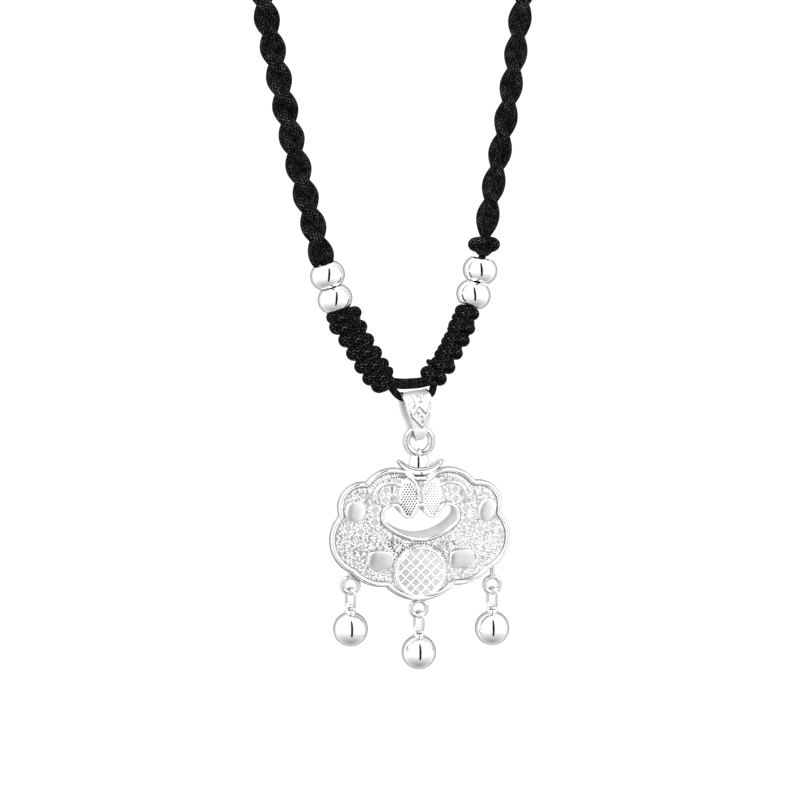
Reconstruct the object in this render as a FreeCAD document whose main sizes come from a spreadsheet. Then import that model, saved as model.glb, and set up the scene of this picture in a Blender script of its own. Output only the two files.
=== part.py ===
import FreeCAD
import Part
import math
import os
from FreeCAD import Placement, Rotation, Vector

# A longevity lock pendant on a corded necklace that hangs as a whole loop.
# The origin is the inside top of the loop, +Z is up, +X is the wearer's left seen from the front
# and the ornamented face looks towards -Y.
# Places on the front are worked out from the V of the necklace, called the fork.

X_AXIS = Vector(1, 0, 0)
Y_AXIS = Vector(0, 1, 0)
Z_AXIS = Vector(0, 0, 1)

doc = FreeCAD.newDocument("longevity_lock_pendant")
sheet = doc.addObject("Spreadsheet::Sheet", "sizes")

# alias, size in millimetres or degrees
SIZES = (
    ("necklace_length", 600),
    ("fork_length", 121),
    ("side_lean", 10.65),
    ("edge_half_width", 19.4),
    ("edge_height", 57),
    ("barrel_radius", 2.75),
    ("barrel_length", 16),
    ("piece_gap", 0.1),
    ("left_lobe_radius", 1.92),
    ("left_waist_radius", 0.98),
    ("left_lobe_pitch", 4.38),
    ("left_first_lobe", 1.55),
    ("right_lobe_radius", 1.74),
    ("right_waist_radius", 1.1),
    ("right_lobe_pitch", 4.9),
    ("right_first_lobe", 2.9),
    ("core_radius", 0.55),
    ("core_bore_radius", 0.66),
    ("bridge_radius", 0.82),
    ("bead_radius", 2.57),
    ("bead_polar_radius", 2.283),
    ("bead_flat_latitude", 50),
    ("bead_bore_radius", 0.85),
    ("knot_width", 4.5),
    ("knot_height", 2.9),
    ("bail_width", 3.9),
    ("bail_wall", 0.42),
    ("bail_yaw", 12),
    ("bail_lean", 6),
    ("ring_mean_radius", 1.89),
    ("ring_wire_radius", 0.565),
    ("ring_centre_drop", 8.4),
    ("pendant_offset", 3.9),
    ("lock_drop", 21.55),
    ("plate_front", 1.6),
    ("plate_edge", 1.3),
    ("shell_depth", 1.9),
    ("shell_inset", 0.75),
    ("field_depth", 0.4),
    ("field_inset", 0.65),
    ("curl_half_width", 1.35),
    ("curl_half_height", 2.95),
    ("curl_relief", 0.55),
    ("boss_relief", 0.75),
    ("medal_radius", 3.85),
    ("medal_border", 0.45),
    ("medal_relief", 0.25),
    ("medal_drop", 6.2),
    ("collar_depth", 2.2),
    ("eye_side_radius", 1.03),
    ("eye_clearance", 0.17),
    ("loop_mean_radius", 1.18),
    ("loop_wire_radius", 0.36),
    ("link_height", 3.54),
    ("link_width", 2.4),
    ("link_wire_radius", 0.25),
    ("link_yaw", 30),
    ("ball_radius", 2.57),
    ("ball_drop", 6.5),
    ("cap_radius", 0.85),
    ("cap_height", 0.28),
    ("ball_loop_radius", 0.62),
    ("ball_loop_wire", 0.2),
)
for row, (alias, value) in enumerate(SIZES, start=1):
    sheet.set(f"A{row}", alias)
    sheet.set(f"B{row}", str(value))
    sheet.setAlias(f"B{row}", alias)
doc.recompute()


def size(alias):
    return float(sheet.get(alias))


def bind(item, **cells):
    """Ties properties of a document object to cells of the sheet."""
    for name, formula in cells.items():
        item.setExpression(name, formula)
    return item


def cell(alias):
    return f"<<sizes>>.{alias}"


def add(kind, name, **cells):
    return bind(doc.addObject(kind, name), **cells)


def add_shape(label, shape):
    """A piece whose shape is worked out here, with its own placement left at the origin."""
    piece = doc.addObject("Part::Feature", label)
    piece.Shape = shape
    piece.Label = label
    return piece


# The loop of the necklace: each side is a straight run that leans out, then half of the top arc.
lean = math.radians(size("side_lean"))
hidden_half = (size("necklace_length") - size("fork_length")) / 2
loop_radius = (hidden_half + size("edge_half_width") / math.sin(lean)) / (
    math.pi / 2 + lean + math.cos(lean) / math.sin(lean)
)
side_run = (loop_radius * math.cos(lean) - size("edge_half_width")) / math.sin(lean)
loop_centre = Vector(0, 0, size("barrel_radius") - loop_radius)
edge_z = loop_centre.z - loop_radius * math.sin(lean) - side_run * math.cos(lean)
fork_z = edge_z - size("edge_height")


def at_fork(x, above, y=0):
    return Vector(x, y, fork_z + above)


def rounded(points, share=0.45):
    """Straight runs joined by tangent arcs. Each arc's setback is a share of its shorter run."""
    edges = []
    start = points[0]
    for before, corner, after in zip(points, points[1:], points[2:]):
        back = before - corner
        ahead = after - corner
        setback = share * min(back.Length, ahead.Length)
        back.normalize()
        ahead.normalize()
        half = back.getAngle(ahead) / 2
        middle = (back + ahead).normalize()
        radius = setback * math.tan(half)
        crown = corner + middle * (setback / math.cos(half) - radius)
        edges.append(Part.LineSegment(start, corner + back * setback).toShape())
        edges.append(Part.Arc(corner + back * setback, crown, corner + ahead * setback).toShape())
        start = corner + ahead * setback
    edges.append(Part.LineSegment(start, points[-1]).toShape())
    return edges


def walk(edges, distance):
    """The point and direction at a distance along a route that starts with a straight run."""
    here = edges[0].valueAt(edges[0].FirstParameter)
    for edge in edges:
        ends = [edge.valueAt(spot) for spot in (edge.FirstParameter, edge.LastParameter)]
        backwards = here.distanceToPoint(ends[1]) < here.distanceToPoint(ends[0])
        if distance <= edge.Length or edge is edges[-1]:
            break
        distance -= edge.Length
        here = ends[0] if backwards else ends[1]
    run = min(distance, edge.Length)
    spot = edge.getParameterByLength(edge.Length - run if backwards else run)
    return edge.valueAt(spot), edge.tangentAt(spot) * (-1 if backwards else 1)


def section(centre, direction, radius, tilt=0):
    """A round section across the route, turned by tilt degrees about the Y axis."""
    facing = Rotation(Y_AXIS, tilt).multVec(direction)
    circle = Part.makeCircle(radius)
    circle.Placement = Placement(centre, Rotation(Y_AXIS, facing.cross(Y_AXIS), facing, "ZXY"))
    return Part.Wire([circle])


def tube(edges, radius):
    """A plain cord of one radius along its route."""
    start, direction = edges[0].valueAt(edges[0].FirstParameter), edges[0].tangentAt(0)
    circle = Part.Wire([Part.makeCircle(radius, start, direction)])
    return Part.Wire(edges).makePipeShell([circle], True, False)


# Braids: two strands laid round each other, so the outline swells to a lobe and narrows to a waist.
# Each row is a corner of the visible route, in millimetres from the fork.
LEFT_BRAID = ((-10.4, 17.95), (-12.75, 26.75), (-14.75, 34.75), (-16.95, 45.1))
RIGHT_BRAID = ((13.85, 21.95), (14.6, 26.6), (16.1, 34.0), (17.25, 40.4), (18.45, 48.1))


def braid_route(corners, side):
    """From the beads up to the closing barrel: the visible corners, the side run and the arc."""
    top = loop_centre + Vector(side * math.cos(lean), 0, -math.sin(lean)) * loop_radius
    points = [at_fork(x, above) for x, above in corners]
    points.append(Vector(side * size("edge_half_width"), 0, edge_z))
    end_angle = (size("barrel_length") / 2 + size("piece_gap")) / loop_radius
    start_angle = math.pi / 2 + lean
    arc_points = []
    for angle in (start_angle, (start_angle + end_angle) / 2, end_angle):
        outward = Vector(side * math.sin(angle), 0, math.cos(angle))
        arc_points.append(loop_centre + outward * loop_radius)
    return rounded(points + [top]) + [Part.Arc(*arc_points).toShape()]


def braid(label, corners, side, name):
    route = braid_route(corners, side)
    length = sum(edge.Length for edge in route)
    first = size(f"{name}_first_lobe")
    lobe = size(f"{name}_lobe_radius")
    waist = size(f"{name}_waist_radius")
    lobes = round((length - first) / size(f"{name}_lobe_pitch"))
    pitch = (length - first) / lobes
    sections = [section(*walk(route, 0), (lobe + waist) / 2)]
    for number in range(lobes):
        middle = first + number * pitch
        if number:
            sections.append(section(*walk(route, middle - 0.22 * pitch), lobe))
        sections.append(section(*walk(route, middle + 0.22 * pitch), lobe))
        sections.append(section(*walk(route, middle + 0.5 * pitch), waist))
    sections.append(section(*walk(route, length), (lobe + waist) / 2))
    print(label, "route", round(length, 1), "mm,", lobes, "lobes")
    return add_shape(label, Part.makeLoft(sections, True, True))


braid("braid_left", LEFT_BRAID, -1, "left")
braid("braid_right", RIGHT_BRAID, 1, "right")

# Closing barrel: cord wound over both ends at the back of the neck, on the top of the arc.
half_barrel = math.degrees(size("barrel_length") / 2 / loop_radius)
barrel = add("Part::Torus", "closing_knot", Radius2=cell("barrel_radius"))
barrel.Radius1 = loop_radius
barrel.Angle3 = 2 * half_barrel
upright = Rotation(X_AXIS, -90).multiply(Rotation(Z_AXIS, -90 - half_barrel))
barrel.Placement = Placement(loop_centre, upright)

# Beads: flattened polished balls with flat ends, two on each side, threaded on the core cord.
# Each row: name, place from the fork, lean of the bore in degrees.
BEADS = (
    ("bead_left_upper", -9.75, 16.07, 17.6),
    ("bead_left_lower", -8.65, 12.62, 17.6),
    ("bead_right_upper", 13.12, 16.72, -11.5),
    ("bead_right_lower", 12.12, 13.13, -18.5),
)
for label, x, above, tilt in BEADS:
    ball = add(
        "Part::Ellipsoid",
        label + "_body",
        Radius1=cell("bead_polar_radius"),
        Radius2=cell("bead_radius"),
        Radius3=cell("bead_radius"),
        Angle1="-" + cell("bead_flat_latitude"),
        Angle2=cell("bead_flat_latitude"),
    )
    bore = add(
        "Part::Cylinder",
        label + "_bore",
        Radius=cell("bead_bore_radius"),
        Height="4 * " + cell("bead_radius"),
    )
    bore.Placement = Placement(Vector(0, 0, -2 * size("bead_radius")), Rotation())
    bead = doc.addObject("Part::Cut", label)
    bead.Base = ball
    bead.Tool = bore
    bead.Placement = Placement(at_fork(x, above), Rotation(Y_AXIS, -tilt))

# Core cord: from the left braid through the beads, the left wrap, the bail and back up the right.
# Each row is a corner of its route in millimetres from the fork; y is towards the back.
LEFT_CORE = (
    (-10.38, 17.85, 0),
    (-9.2, 14.34, 0),
    (-7.7, 9.9, 0),
    (-5.1, 5.75, 0),
    (-2.55, 2.1, 0),
    (-0.75, 0.35, 0),
    (0.3, -1.35, -0.35),
)
RIGHT_CORE = (
    (6.2, -1.38, 0.5),
    (6.3, 1.25, 0.2),
    (7.55, 3.0, 0),
    (9.6, 6.6, 0),
    (11.15, 10.3, 0),
    (12.12, 13.13, 0),
    (13.12, 16.72, 0),
    (13.45, 18.72, 0),
)

# The bail hangs on the core cord, turned a little about the upright and leaning to the left.
ring_centre = at_fork(size("pendant_offset"), -size("ring_centre_drop"))
ring_top = ring_centre + Vector(0, 0, size("ring_mean_radius"))
bail_turn = Rotation(Z_AXIS, size("bail_yaw")).multiply(Rotation(Y_AXIS, -size("bail_lean")))
bail_bore_rise = 4.6
bail_bore = ring_top + bail_turn.multVec(Vector(0, 0, bail_bore_rise))
bore_axis = bail_turn.multVec(X_AXIS)
bore_reach = size("bail_width") / 2 + 0.2
core_points = [at_fork(x, above, y) for x, above, y in LEFT_CORE]
core_points.append(bail_bore - bore_axis * bore_reach)
core_points.append(bail_bore + bore_axis * bore_reach)
core_points += [at_fork(x, above, y) for x, above, y in RIGHT_CORE]
core_route = rounded(core_points)
core_cord = tube(core_route, size("core_radius"))
add_shape("core_cord", core_cord)
print("bail bore", bail_bore, "axis", bore_axis)
print("ring centre", ring_centre)

# Coiled wraps: turns of cord round the core, each row a turn of the coil:
# place from the fork, width over the turn, lean of the turn in degrees.
LEFT_WRAP = (
    (-7.6, 9.78, 4.55, -15),
    (-6.45, 7.95, 4.5, -17),
    (-5.25, 6.0, 4.3, -20),
    (-3.95, 4.05, 4.3, -23),
    (-2.6, 2.3, 4.25, -25),
    (-1.35, 0.75, 4.0, -28),
)
RIGHT_WRAP = (
    (11.0, 10.15, 3.7, 14),
    (10.35, 8.3, 3.9, 12),
    (9.6, 6.55, 3.95, 14),
    (8.5, 4.6, 3.8, 16),
    (7.45, 2.65, 3.9, 20),
    (6.2, 1.1, 4.0, 26),
)


def wrap(label, turns, waist_share):
    """A hollow coil: a section at the middle of each turn and a narrower one between turns."""
    centres = [at_fork(x, above) for x, above, width, tilt in turns]
    sections = []
    for number, (x, above, width, tilt) in enumerate(turns):
        facing = Rotation(Y_AXIS, tilt).multVec(Vector(0, 0, -1))
        after = centres[min(number + 1, len(turns) - 1)]
        before = centres[max(number - 1, 0)]
        half_step = (after - before) * (0.5 / (2 if 0 < number < len(turns) - 1 else 1))
        if number == 0:
            sections.append((centres[0] - half_step * 0.95, facing, width / 2 * waist_share))
        sections.append((centres[number] - half_step * 0.35, facing, width / 2))
        sections.append((centres[number] + half_step * 0.35, facing, width / 2))
        sections.append((centres[number] + half_step, facing, width / 2 * waist_share))
    outer = Part.makeLoft([section(*values) for values in sections], True, True)
    bore = tube(core_route, size("core_bore_radius"))
    return add_shape(label, outer.cut(bore))


wrap("wrap_left", LEFT_WRAP, 0.84)
wrap("wrap_right", RIGHT_WRAP, 0.84)

# Bridge cord: the plain stretch that lies over the bail, between the two wraps.
bridge_ends = (at_fork(0.95, 0.02), at_fork(4.1, 0.28))
reach = bridge_ends[1] - bridge_ends[0]
bridge = Part.makeCylinder(size("bridge_radius"), reach.Length, bridge_ends[0], reach)
add_shape("bridge_cord", bridge)

# Knot above the right beads: a low lobed barrel of tied cord.
knot_centre = at_fork(13.7, 20.25)
KNOT = ((-0.5, 0.62), (-0.3, 0.96), (-0.06, 0.9), (0.06, 0.9), (0.3, 1.0), (0.5, 0.7))
knot_up = Rotation(Y_AXIS, 6).multVec(Z_AXIS)
knot_sections = []
for height, width in KNOT:
    place = knot_centre + knot_up * (height * size("knot_height"))
    knot_sections.append(section(place, knot_up, width * size("knot_width") / 2))
add_shape("knot_right", Part.makeLoft(knot_sections, True, True))

# Jump ring: round wire, face on, through the bail above and the eye of the lock below.
ring = add(
    "Part::Torus",
    "jump_ring",
    Radius1=cell("ring_mean_radius"),
    Radius2=cell("ring_wire_radius"),
)
ring.Placement = Placement(ring_centre, Rotation(X_AXIS, 90))


def origin_plane(body, role):
    return [plane for plane in body.Origin.OriginFeatures if plane.Role == role][0]


def sketch_on(body, role, name, curves):
    sketch = body.newObject("Sketcher::SketchObject", name)
    sketch.AttachmentSupport = (origin_plane(body, role), [""])
    sketch.MapMode = "FlatFace"
    for curve in curves:
        sketch.addGeometry(curve, False)
    return sketch


def arcs_through(*stops):
    """Arcs end to end, each given by its start, a point on it and its end; a pair is a line."""
    curves = []
    for stop in stops:
        points = [Vector(x, y, 0) for x, y in stop]
        curves.append(Part.LineSegment(*points) if len(points) == 2 else Part.Arc(*points))
    return curves


def pad(body, sketch, name, length, kind="Pad", both=True, reversed_side=False):
    feature = body.newObject("PartDesign::" + kind, name)
    feature.Profile = sketch
    feature.Midplane = both
    feature.Reversed = reversed_side
    feature.setExpression("Length", length)
    return feature


# Bail: a pear-shaped strap seen from the side, tapered to a tip seen from the front.
# Its own origin is the wire of the jump ring that it carries.
bail = doc.addObject("PartDesign::Body", "bail")
top_z = bail_bore_rise + 1.06
outer_side = arcs_through(
    ((0, top_z), (1.14, 5.2), (1.5, 4.0)),
    ((1.5, 4.0), (1.62, 2.2), (1.32, 0.1)),
    ((1.32, 0.1), (0.95, -1.15), (0, -1.7)),
    ((0, -1.7), (-0.95, -1.15), (-1.32, 0.1)),
    ((-1.32, 0.1), (-1.62, 2.2), (-1.5, 4.0)),
    ((-1.5, 4.0), (-1.14, 5.2), (0, top_z)),
)
inner_side = arcs_through(
    ((0, 5.28), (0.78, 4.94), (1.06, 4.0)),
    ((1.06, 4.0), (1.18, 2.2), (0.9, 0.1)),
    ((0.9, 0.1), (0.7, -0.82), (0, -1.2)),
    ((0, -1.2), (-0.7, -0.82), (-0.9, 0.1)),
    ((-0.9, 0.1), (-1.18, 2.2), (-1.06, 4.0)),
    ((-1.06, 4.0), (-0.78, 4.94), (0, 5.28)),
)
strap = pad(bail, sketch_on(bail, "YZ_Plane", "bail_side", outer_side + inner_side), "strap",
            cell("bail_width"))
half_top = size("bail_width") / 2
trim = arcs_through(
    ((-3, 7), (3, 7)),
    ((3, 7), (3, -3)),
    ((3, -3), (-3, -3)),
    ((-3, -3), (-3, 7)),
    ((-half_top, 6.2), (half_top, 6.2)),
    ((half_top, 6.2), (1.62, 2.9), (0.95, 0.0)),
    ((0.95, 0.0), (0.7, -0.95), (0.3, -1.75)),
    ((0.3, -1.75), (-0.3, -1.75)),
    ((-0.3, -1.75), (-0.7, -0.95), (-0.95, 0.0)),
    ((-0.95, 0.0), (-1.62, 2.9), (-half_top, 6.2)),
)
pad(bail, sketch_on(bail, "XZ_Plane", "bail_front", trim), "taper", "4 * " + cell("bail_width"),
    kind="Pocket")
bail.Placement = Placement(ring_top, bail_turn)

# Lock: worked in its own frame, with x from the middle, z from its centre and y towards the back.
lock_centre = at_fork(size("pendant_offset"), -size("lock_drop"))
lock_seat = Placement(lock_centre, Rotation())
OUTLINE_HALF = (
    ((0.9, 8.1), (4.37, 9.27), (8.16, 7.25)),
    ((8.16, 7.25), (11.26, 6.24), (12.13, 2.44)),
    ((12.13, 2.44), (13.52, -1.14), (10.37, -6.0)),
    ((10.37, -6.0), (8.1, -7.62), (5.14, -8.12)),
)
MEDAL_LOBE = ((5.14, -8.12), (0, -10.31), (-5.14, -8.12))
CREST = ((-0.9, 8.1), (0.9, 8.1))
OPENING_HALF = (
    ((0, -1.04), (2.9, -0.34), (5.2, 1.3)),
    ((5.2, 1.3), (5.3, 2.9), (3.92, 3.65)),
    ((3.92, 3.65), (3.3, 3.3), (3.05, 2.6)),
    ((3.05, 2.6), (2.0, 1.86), (0.42, 3.6)),
    ((0.42, 3.6), (0, 3.6)),
)


def mirrored(stops):
    """The same arcs on the other side, run backwards so that they follow on."""
    return [tuple((-x, z) for x, z in reversed(stop)) for stop in reversed(stops)]


outline = arcs_through(*OUTLINE_HALF, MEDAL_LOBE, *mirrored(OUTLINE_HALF), CREST)
opening = arcs_through(*OPENING_HALF, *mirrored(OPENING_HALF))


def inset(curves, distance):
    """The same outline moved inwards, as sketch curves."""
    wire = Part.Wire([curve.toShape() for curve in curves])
    moved = wire.makeOffset2D(-distance)
    return [edge.Curve.trim(*edge.ParameterRange) for edge in moved.Edges]


plate = doc.addObject("PartDesign::Body", "lock_plate")
front = size("plate_front")


def on_level(sketch, level):
    """Moves a sketch on the XZ plane to a level y, measured towards the back."""
    sketch.AttachmentOffset = Placement(Vector(0, 0, -level), Rotation())
    return sketch


outline_sketch = on_level(sketch_on(plate, "XZ_Plane", "outline", outline), -front)
pad(plate, outline_sketch, "rim_plate", cell("plate_edge"), both=False, reversed_side=True)
shell_sketch = on_level(
    sketch_on(plate, "XZ_Plane", "shell_outline", inset(outline, size("shell_inset"))),
    -front + size("plate_edge"),
)
pad(plate, shell_sketch, "back_shell", cell("shell_depth"), both=False, reversed_side=True)
field_sketch = on_level(
    sketch_on(plate, "XZ_Plane", "field_outline", inset(outline, size("field_inset"))), -front
)
pad(plate, field_sketch, "field", cell("field_depth"), kind="Pocket", both=False)
opening_sketch = sketch_on(plate, "XZ_Plane", "crescent", opening)
pad(plate, opening_sketch, "crescent_opening", "6 * " + cell("plate_front"), kind="Pocket")

fused = [plate]


def part_of_lock(kind, name, **cells):
    item = add(kind, name, **cells)
    fused.append(item)
    return item


field_y = -front + size("field_depth")
for side, name in ((-1, "left"), (1, "right")):
    curl = part_of_lock(
        "Part::Ellipsoid",
        "curl_" + name,
        Radius1=cell("curl_relief") + " + " + cell("field_depth"),
        Radius2=cell("curl_half_width"),
        Radius3=cell("curl_half_height"),
    )
    curl.Placement = Placement(Vector(side * 1.72, field_y, 5.0), Rotation(X_AXIS, 90))

# Smooth bosses on the field: place, half width, half height, turn in degrees.
BOSSES = (
    ("boss_upper_left", -9.84, 2.96, 1.55, 1.55, 0),
    ("boss_upper_right", 9.98, 2.79, 1.35, 1.8, 18),
    ("boss_lower_left", -5.96, -4.42, 1.84, 1.44, 0),
    ("boss_lower_right", 6.2, -4.42, 1.92, 1.42, 0),
)
for name, x, z, half_width, half_height, turn in BOSSES:
    boss = part_of_lock(
        "Part::Ellipsoid", name, Radius1=cell("boss_relief") + " + " + cell("field_depth")
    )
    boss.Radius2 = half_width
    boss.Radius3 = half_height
    facing = Rotation(Y_AXIS, turn).multiply(Rotation(X_AXIS, 90))
    boss.Placement = Placement(Vector(x, field_y, z), facing)

# Medallion: a flat disc with a raised border ring, low on the lock.
medal_place = Vector(0, field_y, -size("medal_drop"))
medal = part_of_lock(
    "Part::Cylinder", "medallion", Radius=cell("medal_radius"), Height=cell("medal_relief")
)
medal.Placement = Placement(medal_place, Rotation(X_AXIS, 90))
border = part_of_lock("Part::Torus", "medallion_border", Radius1=cell("medal_radius"))
bind(border, Radius2=cell("medal_border"))
border.Placement = Placement(medal_place, Rotation(X_AXIS, 90))

# Collar bar and eye: a crescent bar on top of the lock with the saddle that takes the jump ring.
ring_z = ring_centre.z - lock_centre.z
wire_z = ring_z - size("ring_mean_radius")


def prism(curves, depth, name):
    """A flat outline in x and z, given a depth in y about the middle, as a plain solid."""
    face = Part.Face(Part.Wire([curve.toShape() for curve in curves]))
    solid = face.extrude(Vector(0, 0, depth))
    solid.Placement = Placement(Vector(0, depth / 2, 0), Rotation(X_AXIS, 90))
    item = doc.addObject("Part::Feature", name)
    item.Shape = solid
    fused.append(item)
    return item


collar = arcs_through(
    ((-3.35, 10.15), (0, 8.15), (3.35, 10.15)),
    ((3.35, 10.15), (3.3, 10.45), (3.0, 10.4)),
    ((3.0, 10.4), (0, 9.25), (-3.0, 10.4)),
    ((-3.0, 10.4), (-3.3, 10.45), (-3.35, 10.15)),
)
prism(collar, size("collar_depth"), "collar_bar")
eye_top = wire_z + size("eye_side_radius")
saddle = arcs_through(
    ((-1.75, 8.9), (1.75, 8.9)),
    ((1.75, 8.9), (1.68, 10.0), (1.45, 10.85)),
    ((1.45, 10.85), (0.9, 11.1)),
    ((0.9, 11.1), (0.5, 11.1)),
    ((0.5, 11.1), (0.42, eye_top)),
    ((0.42, eye_top), (-0.42, eye_top)),
    ((-0.42, eye_top), (-0.5, 11.1)),
    ((-0.5, 11.1), (-0.9, 11.1)),
    ((-0.9, 11.1), (-1.45, 10.85)),
    ((-1.45, 10.85), (-1.68, 10.0), (-1.75, 8.9)),
)
side_radius = size("eye_side_radius")
saddle_side = arcs_through(
    ((-side_radius, 8.9), (side_radius, 8.9)),
    ((side_radius, 8.9), (side_radius, wire_z)),
    ((side_radius, wire_z), (0, eye_top), (-side_radius, wire_z)),
    ((-side_radius, wire_z), (-side_radius, 8.9)),
)
saddle_item = prism(saddle, 4 * side_radius, "eye_front")
side_item = prism(saddle_side, 4 * side_radius, "eye_side")
side_item.Placement = Placement(Vector(), Rotation(Z_AXIS, 90)).multiply(side_item.Placement)
fused = fused[:-2]
eye = doc.addObject("Part::Common", "eye")
eye.Base = saddle_item
eye.Tool = side_item
fused.append(eye)

# Three fixed rings on the lower edge, each with a short neck, for the drops.
# Each row: name, x, z of the ring's centre, z where its neck ends inside the plate.
LOOPS = (
    ("left", -10.3, -7.95, -5.6),
    ("centre", 0.0, -11.7, -9.9),
    ("right", 11.15, -8.45, -5.0),
)
for name, x, z, neck_top in LOOPS:
    loop = part_of_lock(
        "Part::Torus",
        "loop_" + name,
        Radius1=cell("loop_mean_radius"),
        Radius2=cell("loop_wire_radius"),
    )
    loop.Placement = Placement(Vector(x, 0, z), Rotation(X_AXIS, 90))
    neck_foot = z + size("loop_mean_radius")
    neck = part_of_lock("Part::Cylinder", "neck_" + name, Radius=cell("loop_wire_radius"))
    neck.Height = neck_top - neck_foot
    neck.Placement = Placement(Vector(x, 0, neck_foot), Rotation())

lock_body = doc.addObject("Part::MultiFuse", "lock_fused")
lock_body.Shapes = fused
ring_way = add("Part::Torus", "ring_way", Radius1=cell("ring_mean_radius"))
bind(ring_way, Radius2=cell("ring_wire_radius") + " + " + cell("eye_clearance"))
ring_way.Placement = Placement(Vector(0, 0, ring_z), Rotation(X_AXIS, 90))
lock = doc.addObject("Part::Cut", "lock")
lock.Base = lock_body
lock.Tool = ring_way
lock.Placement = lock_seat

# Drops: an oval wire link in each fixed ring, and a ball with a cap and a loop on each link.
link_half = size("link_height") / 2 - size("link_wire_radius")
link_bow = size("link_width") / 2 - size("link_wire_radius")
link_straight = link_half - link_bow


def link_route():
    """The oval centreline in the YZ plane, starting at the middle of a straight side."""
    upper = Part.Arc(
        Vector(0, link_bow, link_straight),
        Vector(0, 0, link_half),
        Vector(0, -link_bow, link_straight),
    )
    lower = Part.Arc(
        Vector(0, -link_bow, -link_straight),
        Vector(0, 0, -link_half),
        Vector(0, link_bow, -link_straight),
    )
    sides = (
        Part.LineSegment(Vector(0, link_bow, -link_straight), Vector(0, link_bow, link_straight)),
        Part.LineSegment(Vector(0, -link_bow, link_straight), Vector(0, -link_bow, -link_straight)),
    )
    return [sides[0].toShape(), upper.toShape(), sides[1].toShape(), lower.toShape()]


bar_to_ring = size("loop_wire_radius") + size("link_wire_radius") + size("piece_gap")
for name, x, z, neck_top in LOOPS:
    ring_low = z - size("loop_mean_radius")
    link_top = ring_low + bar_to_ring
    link = add_shape("drop_link_" + name, tube(link_route(), size("link_wire_radius")))
    link_place = lock_centre + Vector(x, 0, link_top - link_half)
    link.Placement = Placement(link_place, Rotation(Z_AXIS, size("link_yaw")))
    ball = add("Part::Sphere", "ball_" + name, Radius=cell("ball_radius"))
    cap = add("Part::Cylinder", "cap_" + name, Radius=cell("cap_radius"), Height=cell("cap_height"))
    cap.Placement = Placement(Vector(0, 0, size("ball_radius") - 0.16), Rotation())
    ball_loop = add(
        "Part::Torus",
        "ball_loop_" + name,
        Radius1=cell("ball_loop_radius"),
        Radius2=cell("ball_loop_wire"),
    )
    link_low = link_top - 2 * link_half
    bar_to_loop = size("ball_loop_wire") + size("link_wire_radius") + size("piece_gap")
    loop_z = link_low + bar_to_loop - size("ball_loop_radius")
    ball_z = z - size("ball_drop")
    ball_loop.Placement = Placement(Vector(0, 0, loop_z - ball_z), Rotation(X_AXIS, 90))
    drop = doc.addObject("Part::MultiFuse", "drop_ball_" + name)
    drop.Shapes = [ball, cap, ball_loop]
    drop.Placement = Placement(lock_centre + Vector(x, 0, ball_z), Rotation())
    print(name, "loop above ball top", round(loop_z - ball_z - size("ball_radius"), 3))

doc.recompute()

SUB_PARTS = (
    ["braid_left", "braid_right", "closing_knot", "knot_right"]
    + [row[0] for row in BEADS]
    + ["core_cord", "wrap_left", "wrap_right", "bridge_cord", "bail", "jump_ring", "lock"]
    + [kind + name for kind in ("drop_link_", "drop_ball_") for name in ("left", "centre", "right")]
)

for item in doc.Objects:
    if "Invalid" in item.State or "Error" in item.State:
        raise RuntimeError(item.Name + " failed: " + str(item.State))
os.makedirs("parts", exist_ok=True)
for label in SUB_PARTS:
    shape = doc.getObjectsByLabel(label)[0].Shape
    if shape.isNull() or not shape.isValid() or len(shape.Solids) != 1:
        raise RuntimeError(label + " isn't one valid solid")
    shape.exportStep(os.path.join("parts", label + ".step"))
    print(label, round(shape.Volume, 2), "mm3")
print("loop radius", round(loop_radius, 2), "fork z", round(fork_z, 2), "edge z", round(edge_z, 2))
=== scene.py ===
import math
import random

import bmesh
import bpy
from mathutils import Matrix, Vector


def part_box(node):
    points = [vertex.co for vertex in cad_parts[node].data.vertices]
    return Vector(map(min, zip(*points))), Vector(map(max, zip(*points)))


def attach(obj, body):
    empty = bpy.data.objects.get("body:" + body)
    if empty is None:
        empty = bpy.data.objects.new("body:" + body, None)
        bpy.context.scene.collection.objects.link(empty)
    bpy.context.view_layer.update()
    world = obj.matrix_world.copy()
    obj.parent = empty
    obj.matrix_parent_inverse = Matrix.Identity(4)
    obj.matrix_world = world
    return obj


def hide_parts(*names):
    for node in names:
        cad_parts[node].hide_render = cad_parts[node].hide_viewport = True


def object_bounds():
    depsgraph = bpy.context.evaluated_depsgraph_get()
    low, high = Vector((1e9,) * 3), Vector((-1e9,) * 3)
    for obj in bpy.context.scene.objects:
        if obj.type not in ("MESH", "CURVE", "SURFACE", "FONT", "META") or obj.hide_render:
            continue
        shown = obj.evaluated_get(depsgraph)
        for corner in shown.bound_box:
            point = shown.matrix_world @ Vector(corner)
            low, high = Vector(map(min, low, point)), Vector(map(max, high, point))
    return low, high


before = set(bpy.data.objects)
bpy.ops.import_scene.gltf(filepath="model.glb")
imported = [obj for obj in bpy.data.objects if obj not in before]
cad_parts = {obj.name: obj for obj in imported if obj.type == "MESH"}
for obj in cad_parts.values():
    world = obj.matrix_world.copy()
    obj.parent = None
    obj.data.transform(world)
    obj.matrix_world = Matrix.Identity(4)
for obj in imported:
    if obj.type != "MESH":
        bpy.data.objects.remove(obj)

MM = 0.001
cad_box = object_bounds()

# Braids: each side of the necklace is two black woven nylon strands laid round each other.
# Their outline swells where the strands lie side by side and narrows where one crosses the other.
# They run from the beads up past the collarbone, round the neck and into the closing barrel.

BACK = Vector((0, 1, 0))
UP = Vector((0, 0, 1))
RING_BELOW_FORK = 8.4

ring_low, ring_high = (Vector(corner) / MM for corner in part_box("jump_ring"))
ring_centre = (ring_low + ring_high) / 2
fork_z = ring_centre.z + RING_BELOW_FORK


def at_fork(x, above, y=0):
    """A point in millimetres, with its height measured from the fork of the necklace."""
    return Vector((x, y, fork_z + above))


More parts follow.
